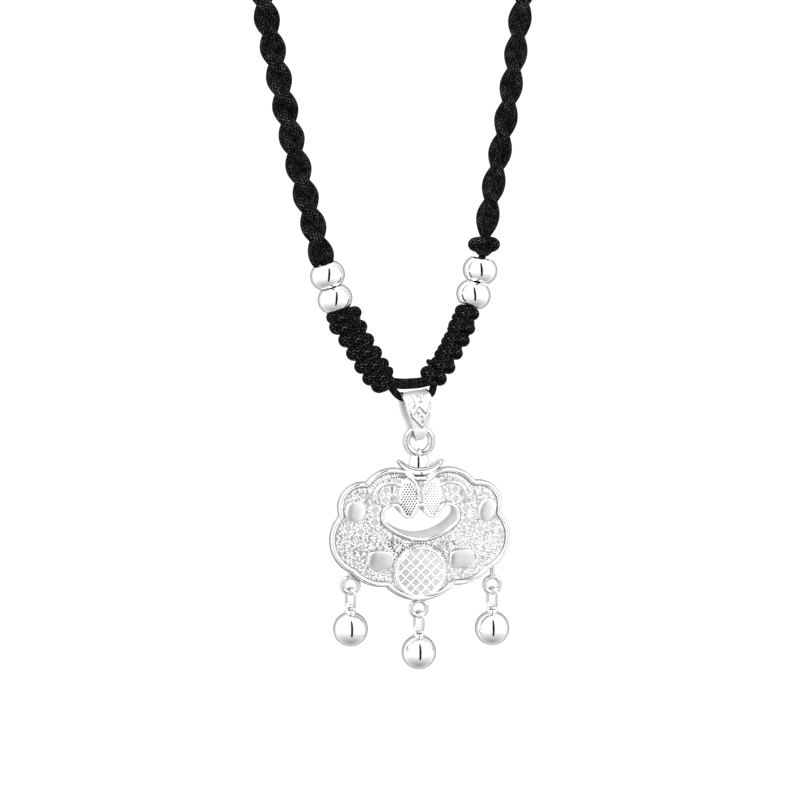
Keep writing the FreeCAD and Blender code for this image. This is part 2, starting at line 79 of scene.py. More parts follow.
class Number:
    """A socket in a finish's nodes, so that shader maths is written as arithmetic."""

    def __init__(self, finish, socket):
        self.finish = finish
        self.socket = socket

    def math(self, operation, *values):
        inputs = dict(enumerate(values))
        return self.finish.node("ShaderNodeMath", {"operation": operation}, inputs)

    def __add__(self, other):
        return self.math("ADD", self, other)

    def __sub__(self, other):
        return self.math("SUBTRACT", self, other)

    def __rsub__(self, other):
        return self.math("SUBTRACT", other, self)

    def __mul__(self, other):
        return self.math("MULTIPLY", self, other)

    def sine(self):
        return self.math("SINE", self)

    def larger(self, other):
        return self.math("MAXIMUM", self, other)

    def clamped(self):
        node = self.math("ADD", self, 0.0)
        node.socket.node.use_clamp = True
        return node


class Finish:
    """A material: a Principled shader with constants on its sockets, and the nodes that feed it."""

    def __init__(self, name, constants):
        self.material = bpy.data.materials.new(name)
        self.material.use_nodes = True
        self.tree = self.material.node_tree
        self.shader = self.tree.nodes["Principled BSDF"]
        for socket, value in constants.items():
            self.shader.inputs[socket].default_value = value

    def node(self, kind, settings, inputs, output=0):
        node = self.tree.nodes.new(kind)
        for name, value in settings.items():
            setattr(node, name, value)
        for name, value in inputs.items():
            self.put(node.inputs[name], value)
        return Number(self, node.outputs[output])

    def put(self, socket, value):
        if isinstance(value, Number):
            self.tree.links.new(value.socket, socket)
        else:
            socket.default_value = value

    def feed(self, name, value):
        self.put(self.shader.inputs[name], value)

    def between(self, mask, dark, light):
        """A colour that goes from dark to light with the mask."""
        colours = {6: (*dark, 1), 7: (*light, 1), 0: mask}
        return self.node("ShaderNodeMix", {"data_type": "RGBA"}, colours, 2)

    def bump(self, height, strength, distance):
        inputs = {"Height": height, "Strength": strength, "Distance": distance}
        self.feed("Normal", self.node("ShaderNodeBump", {}, inputs))


def woven_yarn():
    """Black nylon: fine yarns that cross on the diagonal, read along and round each strand; its
    bright flecks are painted sheen.
    """
    finish = Finish("black_yarn", {"Roughness": 0.5, "Specular IOR Level": 0.015,
                                   "Sheen Weight": 0.04, "Sheen Roughness": 0.25})
    place = finish.node("ShaderNodeUVMap", {"uv_map": "strand"}, {})
    along = finish.node("ShaderNodeSeparateXYZ", {}, {0: place}, 0)
    across = finish.node("ShaderNodeSeparateXYZ", {}, {0: place}, 1)
    yarns_round = 11
    yarn_length = 0.62
    black, painted_sheen = (0.0018, 0.0018, 0.002), (0.145, 0.145, 0.147)
    lay = along * (2 * math.pi / yarn_length)
    lean = across * (2 * math.pi * yarns_round)
    weave = (lay + lean).sine().larger((lay - lean).sine())
    skin = finish.node("ShaderNodeCombineXYZ", {}, {"X": along, "Y": across * 6.0})
    spots = finish.node("ShaderNodeTexNoise", {}, {"Vector": skin, "Scale": 5.2, "Detail": 3.0})
    patches = finish.node("ShaderNodeTexNoise", {}, {"Vector": skin, "Scale": 0.8, "Detail": 1.0})
    # Painted highlight: bright flecks in the base colour stand in for light glinting off the yarns.
    painted_glints = (weave * 0.8 + spots * 2.8 + patches - 2.6).clamped()
    finish.feed("Base Color", finish.between(painted_glints, black, painted_sheen))
    finish.bump(weave * 0.5 + spots, 0.8, 0.1 * MM)
    return finish.material


YARN = woven_yarn()


def smooth_line(corners):
    """The points of a smooth curve that is drawn by these corners, closely spaced."""
    data = bpy.data.curves.new("route", "CURVE")
    data.dimensions = "3D"
    data.resolution_u = 30
    spline = data.splines.new("NURBS")
    spline.points.add(len(corners) - 1)
    for point, corner in zip(spline.points, corners):
        point.co = (*corner, 1)
    spline.order_u = 3
    spline.use_endpoint_u = True
    holder = bpy.data.objects.new("route", data)
    mesh = bpy.data.meshes.new_from_object(holder)
    line = [vertex.co.copy() for vertex in mesh.vertices]
    bpy.data.objects.remove(holder)
    bpy.data.meshes.remove(mesh)
    return line


def paced(line, step):
    """(distance, point, direction) at even steps along a line of points."""
    spots = []
    travelled = 0.0
    due = 0.0
    for start, end in zip(line, line[1:]):
        length = (end - start).length
        while length and due <= travelled + length:
            share = (due - travelled) / length
            spots.append((due, start.lerp(end, share), (end - start).normalized()))
            due += step
        travelled += length
    return spots


def add_strand(bm, points, radius, sides=6, closed=False):
    """Adds a round strand along the points to a mesh, with its length and its turn as UVs."""
    data = bpy.data.curves.new("strand", "CURVE")
    data.dimensions = "3D"
    data.bevel_depth = radius
    data.bevel_resolution = sides
    data.use_fill_caps = not closed
    spline = data.splines.new("POLY")
    spline.use_cyclic_u = closed
    spline.points.add(len(points) - 1)
    for spot, point in zip(spline.points, points):
        spot.co = (*point, 1)
    holder = bpy.data.objects.new("strand", data)
    mesh = bpy.data.meshes.new_from_object(holder)
    length = sum((b - a).length for a, b in zip(points, points[1:]))
    mesh.uv_layers[0].name = "strand"
    for corner in mesh.uv_layers[0].data:
        corner.uv = (corner.uv[0] * length, corner.uv[1])
    bm.from_mesh(mesh)
    bpy.data.objects.remove(holder)
    bpy.data.meshes.remove(mesh)


def make_piece(name, bm, body, finish, smooth=True, replaces=()):
    """Turns a mesh in millimetres into a piece of the object that moves with its body."""
    bmesh.ops.scale(bm, vec=(MM, MM, MM), verts=bm.verts)
    for face in bm.faces:
        face.smooth = smooth
    mesh = bpy.data.meshes.new(name)
    bm.to_mesh(mesh)
    bm.free()
    mesh.materials.append(finish)
    piece = bpy.data.objects.new(name, mesh)
    bpy.context.collection.objects.link(piece)
    if replaces:
        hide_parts(*replaces)
    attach(piece, body)
    return piece


LOOP_RADIUS = 48.69
LOOP_TOP = 2.75
SIDE_LEAN = 10.65
EDGE_HALF_WIDTH = 19.4
EDGE_ABOVE_FORK = 57
STRAND_STEP = 0.24
CROSSING_DEPTH = 0.72
LEFT_CORNERS = ((-10.4, 17.95), (-12.75, 26.75), (-14.75, 34.75), (-16.95, 45.1))
RIGHT_CORNERS = ((13.85, 21.95), (14.6, 26.6), (16.1, 34.0), (17.25, 40.4), (18.45, 48.1))
loop_centre = Vector((0, 0, LOOP_TOP - LOOP_RADIUS))


def braid_line(corners, side):
    """From the beads up the visible side and the hidden run, and round the neck to the barrel."""
    points = [at_fork(x, above) for x, above in corners]
    points.append(at_fork(side * EDGE_HALF_WIDTH, EDGE_ABOVE_FORK))
    first, last, arcs = 90 + SIDE_LEAN, 6.0, 6
    sweep = (first - last) / arcs
    outside = LOOP_RADIUS / math.cos(math.radians(sweep / 2))
    for number in range(arcs):
        angle = math.radians(first - (number + 0.5) * sweep)
        points.append(loop_centre + Vector((side * math.sin(angle), 0, math.cos(angle))) * outside)
    end = math.radians(last)
    points.append(loop_centre + Vector((side * math.sin(end), 0, math.cos(end))) * LOOP_RADIUS)
    return smooth_line(points)


def laid_braid(name, corners, side, strand_radius, spread, lobe_pitch, first_lobe):
    bm = bmesh.new()
    spots = paced(braid_line(corners, side), STRAND_STEP)
    for strand in (0, 1):
        points = []
        for distance, centre, along in spots:
            angle = math.pi * ((distance - first_lobe) / lobe_pitch + strand)
            sideways = along.cross(BACK) * math.cos(angle) * spread
            points.append(centre + sideways + BACK * math.sin(angle) * CROSSING_DEPTH)
        add_strand(bm, points, strand_radius, sides=5)
    make_piece(name + "_strands", bm, "necklace", YARN, replaces=[name])


laid_braid("braid_left", LEFT_CORNERS, -1,
           strand_radius=0.97, spread=0.94, lobe_pitch=4.354, first_lobe=1.1)
laid_braid("braid_right", RIGHT_CORNERS, 1,
           strand_radius=0.9, spread=0.84, lobe_pitch=4.889, first_lobe=2.3)

# Closing barrel: the ends of both braids meet at the nape inside a tight winding of the same cord.
# It is made by winding one length round them, so it shows as even turns side by side.

BARREL_LENGTH = 16.0
BARREL_RADIUS = 2.75
BARREL_CORD = 0.56
turns = round(BARREL_LENGTH / (2 * BARREL_CORD))
points = []
for step in range(turns * 20 + 1):
    share = step / (turns * 20)
    angle = (share - 0.5) * (BARREL_LENGTH - 2 * BARREL_CORD) / LOOP_RADIUS
    outward = Vector((math.sin(angle), 0, math.cos(angle)))
    around = 2 * math.pi * share * turns
    spread = outward * math.cos(around) + BACK * math.sin(around)
    points.append(loop_centre + outward * LOOP_RADIUS + spread * (BARREL_RADIUS - BARREL_CORD))
bm = bmesh.new()
add_strand(bm, points, BARREL_CORD, sides=3)
make_piece("closing_winding", bm, "necklace", YARN, replaces=["closing_knot"])

# Knot above the right beads: the end of the lay is tied in one overhand knot that stops the beads.
# It pulls up into a bulge on each side and a rounded front between them.

KNOT_CORD = 0.82
KNOT_WIDE, KNOT_DEEP, KNOT_TALL = 0.56, 0.62, 0.27
KNOT_HEART = 1.2
knot_centre = at_fork(13.7, 20.3)
points = []
for step in range(72):
    turn = 2 * math.pi * step / 72
    wide = math.sin(turn) + 2 * math.sin(2 * turn)
    tall = math.cos(turn) - 2 * math.cos(2 * turn)
    deep = -math.sin(3 * turn)
    points.append(knot_centre + Vector((wide * KNOT_WIDE, deep * KNOT_DEEP, tall * KNOT_TALL)))
bm = bmesh.new()
add_strand(bm, points, KNOT_CORD, sides=5, closed=True)
bmesh.ops.create_uvsphere(bm, u_segments=20, v_segments=12, radius=KNOT_HEART,
                          matrix=Matrix.Translation(knot_centre) @ Matrix.Diagonal((1, 1, 0.8, 1)))
make_piece("overhand_knot", bm, "necklace", YARN, replaces=["knot_right"])

# Beads: hollow polished silver balls with flat ends, two on each side, strung on the core cord.
# Each is spun up from sheet, so its surface is a mirror all round.


def polished_silver():
    """Mirror-bright silver with the faint unevenness that hand polishing leaves."""
    finish = Finish("polished_silver", {"Metallic": 1.0})
    place = finish.node("ShaderNodeTexCoord", {}, {}, 3)
    waves = finish.node("ShaderNodeTexNoise", {}, {"Vector": place, "Scale": 450.0, "Detail": 2.0})
    finish.feed("Roughness", waves * 0.08 + 0.04)
    finish.feed("Base Color", finish.between(waves, (0.9, 0.9, 0.9), (0.95, 0.95, 0.95)))
    return finish.material


SILVER = polished_silver()


def add_part(bm, fresh, place):
    """Places a separate mesh and adds it to another."""
    bmesh.ops.transform(fresh, matrix=place, verts=fresh.verts)
    mesh = bpy.data.meshes.new("part")
    fresh.to_mesh(mesh)
    fresh.free()
    bm.from_mesh(mesh)
    bpy.data.meshes.remove(mesh)


def add_lathe(bm, profile, place, steps=64):
    """Spins a profile of (radius, height) pairs round the upright, places it and adds it."""
    fresh = bmesh.new()
    verts = [fresh.verts.new((radius, 0, height)) for radius, height in profile]
    edges = [fresh.edges.new(pair) for pair in zip(verts, verts[1:])]
    bmesh.ops.spin(fresh, geom=verts + edges, cent=(0, 0, 0), axis=(0, 0, 1),
                   angle=2 * math.pi, steps=steps, use_merge=True)
    bmesh.ops.remove_doubles(fresh, verts=fresh.verts, dist=0.0005)
    bmesh.ops.recalc_face_normals(fresh, faces=fresh.faces)
    add_part(bm, fresh, place)


BEAD_RADIUS, BEAD_POLAR, BEAD_FLAT = 2.57, 2.283, 50
BEAD_BORE, BEAD_BORE_HALF = 0.85, 1.55
bead_profile = [(BEAD_BORE, -BEAD_BORE_HALF)]
for step in range(25):
    latitude = math.radians(BEAD_FLAT * (step / 12 - 1))
    bead_profile.append((BEAD_RADIUS * math.cos(latitude), BEAD_POLAR * math.sin(latitude)))
bead_profile.append((BEAD_BORE, BEAD_BORE_HALF))
bead_profile.append((BEAD_BORE, -BEAD_BORE_HALF))
# name, place from the fork, lean of the bore in degrees
BEADS = (
    ("bead_left_upper", -9.75, 16.07, 17.6),
    ("bead_left_lower", -8.65, 12.62, 17.6),
    ("bead_right_upper", 13.12, 16.72, -11.5),
    ("bead_right_lower", 12.12, 13.13, -18.5),
)
for name, x, above, lean in BEADS:
    bm = bmesh.new()
    tip = Matrix.Rotation(math.radians(-lean), 4, "Y")
    add_lathe(bm, bead_profile, Matrix.Translation(at_fork(x, above)) @ tip)
    make_piece(name + "_ball", bm, "necklace", SILVER, replaces=[name])

# Core cord and wraps: the cord that carries the beads and the pendant, and the turns knotted
# over it. Each turn is a fat loop of the same woven cord, pulled tight so that a second loop
# peeps out behind it.

CORE_RADIUS = 0.55
CORD_STEP = 0.25
RING_MEAN_RADIUS = 1.89
BAIL_YAW, BAIL_TIP = math.radians(12), math.radians(-6)
BORE_RISE, BORE_HALF = 4.6, 2.0
bail_turn = Matrix.Rotation(BAIL_YAW, 4, "Z") @ Matrix.Rotation(BAIL_TIP, 4, "Y")
ring_top = ring_centre + UP * RING_MEAN_RADIUS
bail_bore = ring_top + (bail_turn @ Vector((0, 0, BORE_RISE)))
bore_axis = bail_turn @ Vector((1, 0, 0))
core_points = [
    at_fork(-11.4, 21.6), at_fork(-10.3, 17.8), at_fork(-9.2, 14.34), at_fork(-7.7, 9.9),
    at_fork(-5.1, 5.75), at_fork(-2.55, 2.1), at_fork(-0.75, 0.35), at_fork(0.3, -1.35, -0.35),
    bail_bore - bore_axis * BORE_HALF, bail_bore + bore_axis * BORE_HALF,
    at_fork(6.1, -1.3, 0.5), at_fork(6.3, 1.25, 0.2), at_fork(7.55, 3.0), at_fork(9.6, 6.6),
    at_fork(11.15, 10.3), at_fork(12.12, 13.13), at_fork(13.12, 16.72), at_fork(13.45, 18.72),
    at_fork(13.95, 22.8),
]
bm = bmesh.new()
core_line = [point for distance, point, along in paced(smooth_line(core_points), CORD_STEP)]
add_strand(bm, core_line, CORE_RADIUS, sides=4)
make_piece("core_strand", bm, "necklace", YARN, replaces=["core_cord"])

# place from the fork, width over the turn, lean of the turn, radius of its cord and radius of
# the cord of the loop behind it
LEFT_TURNS = (
    (-7.75, 10.2, 4.5, -14, 0.95, 0.0),
    (-7.15, 8.9, 4.9, -18, 1.1, 0.9),
    (-6.05, 6.95, 4.4, -20, 1.05, 0.9),
    (-4.95, 5.0, 4.3, -22, 1.05, 0.95),
    (-3.75, 3.1, 4.3, -24, 1.05, 0.95),
    (-2.6, 1.35, 4.2, -25, 1.0, 0.8),
    (-1.55, 0.2, 3.7, -30, 0.98, 0.5),
)
RIGHT_TURNS = (
    (11.15, 10.5, 3.75, 12, 0.95, 0.0),
    (10.35, 8.35, 4.1, 10, 0.98, 0.7),
    (9.6, 6.6, 4.0, 12, 0.9, 0.8),
    (8.6, 4.75, 3.9, 14, 0.95, 0.8),
    (7.5, 2.75, 3.9, 18, 1.0, 0.75),
    (6.1, 1.2, 4.2, 24, 1.05, 0.4),
)


def add_turn(bm, centre, lean, half_width, half_depth, cord):
    """A closed oval loop of cord round the core, tipped by lean degrees about the depth."""
    tip = Matrix.Rotation(math.radians(lean), 3, "Y")
    loop = []
    for step in range(32):
        angle = 2 * math.pi * step / 32
        spot = Vector((half_width * math.cos(angle), half_depth * math.sin(angle), 0))
        spot.z = 0.16 * math.sin(angle)
        loop.append(centre + tip @ spot)
    add_strand(bm, loop, cord, sides=5, closed=True)


def knotted_wrap(name, turns, behind):
    bm = bmesh.new()
    for x, above, width, lean, cord, peep in turns:
        centre = at_fork(x, above)
        add_turn(bm, centre, lean, width / 2 - cord, 1.0, cord)
        if peep:
            raised = centre + Vector((behind, 0.35, 1.0))
            add_turn(bm, raised, lean * 2.0, width / 2 - peep - 0.25, 0.9, peep)
    make_piece(name + "_turns", bm, "necklace", YARN, replaces=[name])


knotted_wrap("wrap_left", LEFT_TURNS, 0.55)
knotted_wrap("wrap_right", RIGHT_TURNS, 0.3)

# Bridge cord: three thin strands that cross over the bail side by side, from one wrap to the other.
# They keep the two wraps the bail's width apart.

BRIDGE_CORD = 0.48
bm = bmesh.new()
for lift, forward in ((0.34, -0.45), (-0.3, -0.3), (0.04, 0.35)):
    line = smooth_line([
        at_fork(-1.0, 0.4 + lift, forward), at_fork(0.8, 0.05 + lift, forward),
        at_fork(2.6, 0.1 + lift, forward), at_fork(4.4, 0.22 + lift, forward),
        at_fork(6.0, 0.7 + lift, forward),
    ])
    strand = [point for distance, point, along in paced(line, CORD_STEP)]
    add_strand(bm, strand, BRIDGE_CORD, sides=4)
make_piece("bridge_strands", bm, "necklace", YARN, replaces=["bridge_cord"])

# Bail: a cast silver strap folded into a pear-shaped loop, wide over the cord and narrow at the
# ring. Its edges are raised all round, and its front has zigzag bars, small grains and pits; the
# pits' shade and a shadow line under the two lower bars are painted as dark strips.


def shade_paint_silver(name, low, high):
    """Painted shade: dark metal colour for the shade at the bottom of punched and cast hollows,
    beside the rims and round edges.
    """
    finish = Finish(name, {"Metallic": 1.0})
    place = finish.node("ShaderNodeTexCoord", {}, {}, 3)
    drift = finish.node("ShaderNodeTexNoise", {}, {"Vector": place, "Scale": 1400.0, "Detail": 2.0})
    finish.feed("Base Color", finish.between(drift, (low,) * 3, (high,) * 3))
    finish.feed("Roughness", drift * 0.2 + 0.35)
    return finish.material


def matted_silver(name, low, high, metallic=1.0):
    """Bright metal left matt by the stamping die, greyer than the polished parts; in the cups, the
    fan's groove and the crescent's wall the grey is also painted shade.
    """
    finish = Finish(name, {"Metallic": metallic})
    place = finish.node("ShaderNodeTexCoord", {}, {}, 3)
    drift = finish.node("ShaderNodeTexNoise", {}, {"Vector": place, "Scale": 1700.0, "Detail": 2.0})
    finish.feed("Base Color", finish.between(drift, (low,) * 3, (high,) * 3))
    finish.feed("Roughness", drift * 0.2 + 0.3)
    finish.bump(drift, 0.4, 0.05 * MM)
    return finish.material


# Grey painted shade, for pits, lines beside rims and edges, and the right-hand dots.
GREY_SHADE_PAINT = shade_paint_silver("shade_paint_silver", 0.16, 0.42)
GREYED = matted_silver("greyed_silver", 0.54, 0.76, 0.4)


def arc_points(stop, count=10):
    """Points along a line, or along the arc through three points, up to its last point."""
    ends = [Vector(end) for end in stop]
    if len(ends) == 2:
        steps = max(1, round((ends[1] - ends[0]).length / 0.3))
        return [ends[0].lerp(ends[1], step / steps) for step in range(steps)]
    a, b, c = ends
    turn = 2 * (a.x * (b.y - c.y) + b.x * (c.y - a.y) + c.x * (a.y - b.y))
    squares = [end.length_squared for end in ends]
    rows = zip(squares, (b, c, a), (c, a, b))
    sums = [(square * (p.y - q.y), square * (q.x - p.x)) for square, p, q in rows]
    centre = Vector((sum(x for x, y in sums), sum(y for x, y in sums))) / turn
    spoke, last = a - centre, c - centre
    sweep = math.atan2(last.y, last.x) - math.atan2(spoke.y, spoke.x)
    sweep %= 2 * math.pi
    if turn < 0:
        sweep -= 2 * math.pi
    return [centre + Matrix.Rotation(sweep * step / count, 2) @ spoke for step in range(count)]


def outline_of(stops, count=10):
    return [point for stop in stops for point in arc_points(stop, count)]


BAIL_SIDE = (
    ((0, 5.62), (0.95, 5.15), (1.5, 4.0)), ((1.5, 4.0), (1.62, 2.2), (1.32, 0.1)),
    ((1.32, 0.1), (0.95, -1.15), (0, -1.7)), ((0, -1.7), (-0.95, -1.15), (-1.32, 0.1)),
    ((-1.32, 0.1), (-1.62, 2.2), (-1.5, 4.0)), ((-1.5, 4.0), (-0.95, 5.15), (0, 5.62)),
)
# height above the ring's top, half width there
BAIL_HALF_WIDTH = ((-1.8, 0.3), (-1.7, 0.35), (-0.95, 0.65), (0.0, 1.0), (2.9, 1.75), (6.2, 2.1))
BAIL_SHIFT = -0.3
FRONT_WIDER = 0.2
STRAP_WALL = 0.4
LOOP_MIDDLE = 2.0


def bail_half_width(point):
    """Half the strap's width at a point (depth, height) of its loop; the front is the wider."""
    height = point[1]
    wider = FRONT_WIDER * min(1.0, max(0.0, -point[0]))
    for (low, narrow), (high, wide) in zip(BAIL_HALF_WIDTH, BAIL_HALF_WIDTH[1:]):
        if height <= high:
            share = max(0.0, (height - low) / (high - low))
            return narrow + (wide - narrow) * share + wider


bail_place = Matrix.Translation(ring_top) @ bail_turn
side_loop = outline_of(BAIL_SIDE, 12)
bm = bmesh.new()
verts = [bm.verts.new((0, point.x, point.y)) for point in side_loop]
edges = [bm.edges.new((a, b)) for a, b in zip(verts, verts[1:] + verts[:1])]
columns = 8
for vert in verts:
    vert.co.x = BAIL_SHIFT - bail_half_width(vert.co.yz)
row = edges
for column in range(columns):
    grown = bmesh.ops.extrude_edge_only(bm, edges=row)
    fresh = [part for part in grown["geom"] if isinstance(part, bmesh.types.BMVert)]
    row = [part for part in grown["geom"] if isinstance(part, bmesh.types.BMEdge)]
    for vert in fresh:
        vert.co.x += 2 * bail_half_width(vert.co.yz) / columns
bmesh.ops.recalc_face_normals(bm, faces=bm.faces)
bmesh.ops.solidify(bm, geom=bm.faces, thickness=STRAP_WALL)
bmesh.ops.recalc_face_normals(bm, faces=bm.faces)
bmesh.ops.transform(bm, matrix=bail_place, verts=bm.verts)
make_piece("bail_strap", bm, "bail", GREYED, replaces=["bail"])

bm = bmesh.new()


def on_bail(share, place, lift=0.0):
    """A point on the strap's outside: share across its width from -1 to 1, place along its loop."""
    point = side_loop[place % len(side_loop)]
    outward = Vector((0, point.x, point.y - LOOP_MIDDLE)).normalized()
    across = BAIL_SHIFT + share * bail_half_width(point)
    return bail_place @ (Vector((across, point.x, point.y)) + outward * lift)


loop_count = len(side_loop)
EDGE_SHARE, EDGE_RADIUS = 0.93, 0.16
for share in (-EDGE_SHARE, EDGE_SHARE):
    rim = [on_bail(share, place, -0.04) for place in range(loop_count)]
    add_strand(bm, rim, EDGE_RADIUS, sides=3, closed=True)
front = [point for point in side_loop if point.x < -0.2]


def on_front(across, height, lift=0.0):
    """A point on the strap's patterned front, by its place across and its height."""
    for low, high in zip(front, front[1:]):
        if height <= high.y:
            break
    point = low.lerp(high, min(1.0, max(0.0, (height - low.y) / (high.y - low.y))))
    outward = Vector((0, point.x, point.y - LOOP_MIDDLE)).normalized()
    return bail_place @ (Vector((BAIL_SHIFT + across, point.x, point.y)) + outward * lift)


def front_bar(corners):
    """A raised bar's line on the front; it sinks into the strap towards the bail's top."""
    ends = [Vector(corner) for corner in corners]
    spots = [spot for pair in zip(ends, ends[1:]) for spot in arc_points(pair)] + [ends[-1]]
    return [on_front(spot.x, spot.y, 0.03 - 0.12 * min(1.0, max(0.0, 2 * spot.y - 8.4)))
            for spot in spots]


BARS = (
    ((-1.7, 4.9), (-1.24, 2.3), (-0.08, 3.75), (0.88, 2.45), (1.7, 4.2)),
    ((-1.3, 2.2), (0.25, 0.45), (1.4, 2.5)),
    ((-1.2, 5.1), (-0.55, 4.0), (0.05, 5.0), (0.65, 4.0), (1.3, 5.1)),
)
PITS = (((-1.0, 3.2), (-0.65, 3.7)), ((-1.5, 2.5), (-1.45, 1.9)), ((0.3, 4.45), (0.5, 4.7)),
        ((1.05, 2.7), (1.35, 3.2)), ((0.25, 0.95), (0.45, 1.2)), ((0.25, 3.9), (0.45, 4.2)),
        ((-0.35, 2.6), (-0.15, 2.3)), ((0.2, 1.9), (0.4, 1.6)))
BAIL_GRAINS = ((-0.35, 2.75), (-0.05, 2.15), (0.3, 1.5), (0.05, 4.2), (-1.2, 4.3))
BAR_RADIUS, BAR_SHADOW, PIT_RADIUS, BAIL_GRAIN_RADIUS = 0.17, 0.1, 0.13, 0.2
for corners in BARS:
    add_strand(bm, front_bar(corners), BAR_RADIUS, sides=3)
for x, z in BAIL_GRAINS:
    place = Matrix.Translation(on_front(x, z))
    bmesh.ops.create_icosphere(bm, subdivisions=2, radius=BAIL_GRAIN_RADIUS, matrix=place)
make_piece("bail_lattice", bm, "bail", SILVER)
# Painted shade: dark strips for the pits' shade, and painted shadow lines under the two lower bars.
bm = bmesh.new()
for corners in PITS:
    add_strand(bm, front_bar(corners), PIT_RADIUS, sides=3)
for corners in BARS[:2]:
    below = [(x - 0.02, z - 0.27) for x, z in corners]
    add_strand(bm, front_bar(below), BAR_SHADOW, sides=2)
make_piece("bail_pit_shade", bm, "bail", GREY_SHADE_PAINT)

# Jump ring: a ring of round silver wire, soldered shut, that joins the bail and the lock.
# It hangs face on and shows its whole round.

RING_WIRE = 0.565


def drawn_wire():
    """Silver wire as it leaves the draw plate: bright, with a grey cast along its length."""
    finish = Finish("drawn_wire", {"Metallic": 1.0})
    place = finish.node("ShaderNodeTexCoord", {}, {}, 3)
    drift = finish.node("ShaderNodeTexNoise", {}, {"Vector": place, "Scale": 900.0, "Detail": 2.0})
    finish.feed("Base Color", finish.between(drift, (0.5, 0.5, 0.505), (0.88, 0.88, 0.885)))
    finish.feed("Roughness", drift * 0.1 + 0.06)
    return finish.material


WIRE = drawn_wire()


def add_ring(bm, centre, mean_radius, wire, turn=None, points=56):
    """A round wire ring that faces the front unless it is turned."""
    loop = []
    for step in range(points):
        angle = 2 * math.pi * step / points
        spoke = Vector((math.cos(angle), 0, math.sin(angle))) * mean_radius
        loop.append(centre + (turn @ spoke if turn else spoke))
    add_strand(bm, loop, wire, sides=7, closed=True)


bm = bmesh.new()
add_ring(bm, ring_centre, RING_MEAN_RADIUS, RING_WIRE)
make_piece("jump_ring_wire", bm, "ring", WIRE, replaces=["jump_ring"])

# Lock: a hollow silver lock stamped in two shells, with a wire rim round its scalloped outline.
# The front field is set back inside the rim; the crescent is cut right through both shells.


def cast_silver():
    """Bright cast silver: a fine worm-like grain, with painted shade darkening the metal in its
    hollows.
    """
    finish = Finish("cast_silver", {"Metallic": 1.0})
    place = finish.node("ShaderNodeTexCoord", {}, {}, 3)
    cells = finish.node(
        "ShaderNodeTexVoronoi", {"feature": "SMOOTH_F1"}, {"Vector": place, "Scale": 2100.0}
    )
    drift = finish.node("ShaderNodeTexNoise", {}, {"Vector": place, "Scale": 900.0, "Detail": 3.0})
    # Painted shade: the base colour darkens where the grain's bump is low.
    painted_hollow_shade = (cells * 1.9 + drift * 1.3 - 1.1).clamped()
    finish.feed("Base Color", finish.between(painted_hollow_shade, (0.93, 0.93, 0.93), (0.48, 0.48, 0.485)))
    finish.feed("Roughness", drift * 0.25 + 0.14)
    finish.bump(1.0 - (cells * 0.9 + drift * 0.5), 0.55, 0.1 * MM)
    return finish.material


def satin_silver():
    """Silver brushed to a soft gleam, as on the cushions and the collar."""
    finish = Finish("satin_silver", {"Metallic": 1.0})
    place = finish.node("ShaderNodeTexCoord", {}, {}, 3)
    drift = finish.node("ShaderNodeTexNoise", {}, {"Vector": place, "Scale": 700.0, "Detail": 2.0})
    finish.feed("Base Color", finish.between(drift, (0.86, 0.86, 0.86), (0.95, 0.95, 0.95)))
    finish.feed("Roughness", drift * 0.15 + 0.24)
    return finish.material


CAST = cast_silver()
SATIN = satin_silver()
# Sawn matt metal for the crescent's inner wall; its grey is partly painted shade.
SAWN_WALL_SHADE = matted_silver("sawn_shaded_silver", 0.6, 0.76, 0.45)

LOCK_BELOW_FORK = 21.55
lock_centre = at_fork(ring_centre.x, -LOCK_BELOW_FORK)
FIELD_Y = -1.2
OUTLINE_HALF = (
    ((0.9, 8.1), (4.37, 9.27), (8.16, 7.25)), ((8.16, 7.25), (11.26, 6.24), (12.13, 2.44)),
    ((12.13, 2.44), (13.52, -1.14), (10.37, -6.0)), ((10.37, -6.0), (8.1, -7.62), (5.14, -8.12)),
)
MEDAL_LOBE = ((5.14, -8.12), (0, -10.31), (-5.14, -8.12))
CREST = ((-0.9, 8.1), (0.9, 8.1))
OPENING_HALF = (
    ((0, -1.04), (2.9, -0.34), (5.2, 1.3)), ((5.2, 1.3), (5.3, 2.9), (3.92, 3.65)),
    ((3.92, 3.65), (3.3, 3.3), (3.05, 2.6)), ((3.05, 2.6), (2.0, 1.86), (0.42, 3.6)),
    ((0.42, 3.6), (0, 3.6)),
)


def mirrored(stops):
    return [tuple((-x, z) for x, z in reversed(stop)) for stop in reversed(stops)]


outline = outline_of((*OUTLINE_HALF, MEDAL_LOBE, *mirrored(OUTLINE_HALF), CREST), 26)
opening = outline_of((*OPENING_HALF, *mirrored(OPENING_HALF)), 12)


def inset(points, distance):
    """The closed outline moved inwards by a distance, for an outline that runs clockwise."""
    moved = []
    for before, point, after in zip(points[-1:] + points[:-1], points, points[1:] + points[:1]):
        along = (after - before).normalized()
        moved.append(point + Vector((along.y, -along.x)) * distance)
    return moved


def on_lock(point, y):
    return lock_centre + Vector((point[0], y, point[1]))


def loop_at(bm, points, y):
    verts = [bm.verts.new(on_lock(point, y)) for point in points]
    return [bm.edges.new(pair) for pair in zip(verts, verts[1:] + verts[:1])]


TUNNEL_SLOPE = Vector((-0.35, 0.65))
# how far inside the outline, and how far back, from the field round to the back shell
OUTER_WALLS = ((0.05, FIELD_Y), (0.0, FIELD_Y + 0.15), (0.0, -0.55), (0.12, -0.35), (0.7, -0.25),
               (0.75, 0.9), (0.95, 1.35), (1.4, 1.6))
bm = bmesh.new()
field_rim = loop_at(bm, inset(outline, OUTER_WALLS[0][0]), FIELD_Y)
field_hole = loop_at(bm, opening, FIELD_Y)
bmesh.ops.triangle_fill(bm, use_beauty=True, use_dissolve=False, edges=field_rim + field_hole)
bmesh.ops.recalc_face_normals(bm, faces=bm.faces)
make_piece("lock_field", bm, "lock", CAST, smooth=False)

